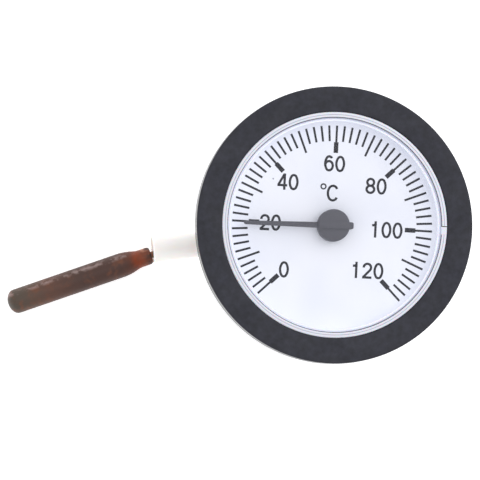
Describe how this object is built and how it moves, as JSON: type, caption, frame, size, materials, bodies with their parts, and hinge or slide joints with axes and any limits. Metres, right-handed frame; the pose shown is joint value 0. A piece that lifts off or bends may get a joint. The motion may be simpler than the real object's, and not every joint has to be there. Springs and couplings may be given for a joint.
{
  "type": "capillary dial thermometer",
  "caption": "Round panel dial thermometer, liquid filled, with a pointer on a 0 to 120 degree scale, a remote copper bulb on a sheathed capillary and sprung panel clips.",
  "frame": {"origin": "on the dial's axis, in the plane of the bezel flange's rear face, which seats on the panel", "axes": "+Z out of the dial's face, +Y towards 12 o'clock (60 degrees), +X towards 3 o'clock; it is stored lying face up"},
  "size_m": [0.1081, 0.066, 0.0359],
  "materials": {
    "case_black": "fine-textured black moulded plastic",
    "clear_lens": "clear polished acrylic",
    "dial_white": "white satin enamel on aluminium sheet, with a printed scale",
    "pointer_grey": "satin dark grey moulding",
    "steel": "turned steel",
    "brass": "stamped and turned brass",
    "spring_bronze": "rolled bronze tube",
    "gland_black": "moulded elastomer",
    "copper": "drawn copper capillary tube",
    "pvc_white": "extruded white PVC sheath",
    "tie_black": "flat plastic tie",
    "sleeve_white": "milky PVC tube",
    "copper_patina": "tarnished copper, brown-grey with bare copper patches",
    "copper_bright": "brazed copper, heat coloured",
    "spring_steel": "cold-rolled spring steel"
  },
  "bodies": {
    "gauge": {"case": "case_black", "lens": "clear_lens", "dial_plate": "dial_white", "bourdon_spiral": "spring_bronze", "spiral_anchor": "brass", "base_plate": "brass", "bridge_plate": "brass", "bridge_pillars": "brass", "front_bush": "brass", "rear_bush": "brass", "bridge_screws": "steel", "mounting_screws": "steel", "outlet_gland": "gland_black", "inner_capillary": "copper", "capillary_lead": "pvc_white", "capillary_coil": "pvc_white", "coil_ties": "tie_black", "capillary_run": "pvc_white", "guard_sleeve": "sleeve_white", "capillary_tail": "copper", "bulb_shell": "copper_patina", "bulb_neck": "copper_bright"},
    "pointer_shaft": {"pointer": "pointer_grey", "spindle": "steel", "spiral_collet": "brass"},
    "clip_a": {"retaining_clip_a": "spring_steel"},
    "clip_b": {"retaining_clip_b": "spring_steel"},
    "clip_c": {"retaining_clip_c": "spring_steel"}
  },
  "joints": [
    {"name": "pointer_turn", "type": "hinge", "parent": "gauge", "child": "pointer_shaft", "pos_m": [0, 0, 0], "axis": [0, 0, -1], "range_deg": [-43.88, 226.12], "stiffness_Nm_per_rad": 0.0002, "deforming": ["bourdon_spiral"]},
    {"name": "clip_a_flex", "type": "hinge", "parent": "gauge", "child": "clip_a", "pos_m": [0.00751, 0.02801, -0.017], "axis": [0.9659, -0.2588, 0], "range_deg": [0, 9.5], "stiffness_Nm_per_rad": 1.3},
    {"name": "clip_b_flex", "type": "hinge", "parent": "gauge", "child": "clip_b", "pos_m": [-0.02801, -0.00751, -0.017], "axis": [-0.2588, 0.9659, 0], "range_deg": [0, 9.5], "stiffness_Nm_per_rad": 1.3},
    {"name": "clip_c_flex", "type": "hinge", "parent": "gauge", "child": "clip_c", "pos_m": [0.02051, -0.02051, -0.017], "axis": [-0.7071, -0.7071, 0], "range_deg": [0, 9.5], "stiffness_Nm_per_rad": 1.3}
  ]
}
